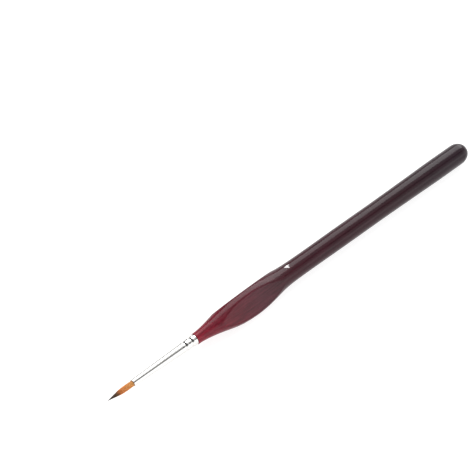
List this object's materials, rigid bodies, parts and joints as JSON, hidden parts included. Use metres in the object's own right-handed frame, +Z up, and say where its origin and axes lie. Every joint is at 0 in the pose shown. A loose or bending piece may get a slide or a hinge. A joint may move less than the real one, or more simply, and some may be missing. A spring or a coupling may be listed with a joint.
{
  "type": "fine detail brush",
  "caption": "Slim round paint brush with a pointed two-tone tuft, a crimped metal ferrule and a turned lacquered handle with a three-sided grip.",
  "frame": {"origin": "on the table under the middle of the brush, which lies on one flat of its grip and the side of its tail", "axes": "+X along the brush from the point of the tuft to the tail of the handle, +Z up from the table, +Y to the left of someone who looks along +X"},
  "size_m": [0.1818, 0.011, 0.01],
  "materials": {
    "lacquered_wood": "satin lacquer, wine red at the front fading to near black along the handle",
    "white_ink": "pad-printed ink",
    "ferrule_metal": "bright plated",
    "wood_glue": "dried glue",
    "epoxy": "clear amber resin",
    "thread": "twisted cotton",
    "hair": "smooth tapered filament",
    "dark_hair": "smooth tapered filament, dyed dark at the point"
  },
  "bodies": {
    "brush": {"handle": "lacquered_wood", "size_mark": "white_ink", "ferrule": "ferrule_metal", "tenon_glue": "wood_glue", "epoxy_plug": "epoxy", "binding_thread": "thread", "hair_roots": "hair"},
    "tuft_neck": {"hair_neck": "hair"},
    "tuft_belly": {"hair_belly": "hair"},
    "tuft_shoulder": {"hair_shoulder": "hair"},
    "tuft_point": {"hair_point": "dark_hair"}
  },
  "joints": [
    {"name": "neck_press", "type": "hinge", "parent": "brush", "child": "tuft_neck", "pos_m": [-0.08155, 0, 0.0042], "axis": [0, 1, 0], "range_deg": [-25, 25], "stiffness_Nm_per_rad": 0.0008},
    {"name": "belly_sweep", "type": "hinge", "parent": "tuft_neck", "child": "tuft_belly", "pos_m": [-0.08335, 0, 0.0042], "axis": [0, 0, 1], "range_deg": [-25, 25], "stiffness_Nm_per_rad": 0.0008},
    {"name": "shoulder_press", "type": "hinge", "parent": "tuft_belly", "child": "tuft_shoulder", "pos_m": [-0.08515, 0, 0.0042], "axis": [0, 1, 0], "range_deg": [-25, 25]},
    {"name": "point_sweep", "type": "hinge", "parent": "tuft_shoulder", "child": "tuft_point", "pos_m": [-0.08695, 0, 0.0042], "axis": [0, 0, 1], "range_deg": [-25, 25]}
  ],
  "couplings": [
    {"joint": "shoulder_press", "follows": "neck_press", "ratio": 1},
    {"joint": "point_sweep", "follows": "belly_sweep", "ratio": 1}
  ]
}
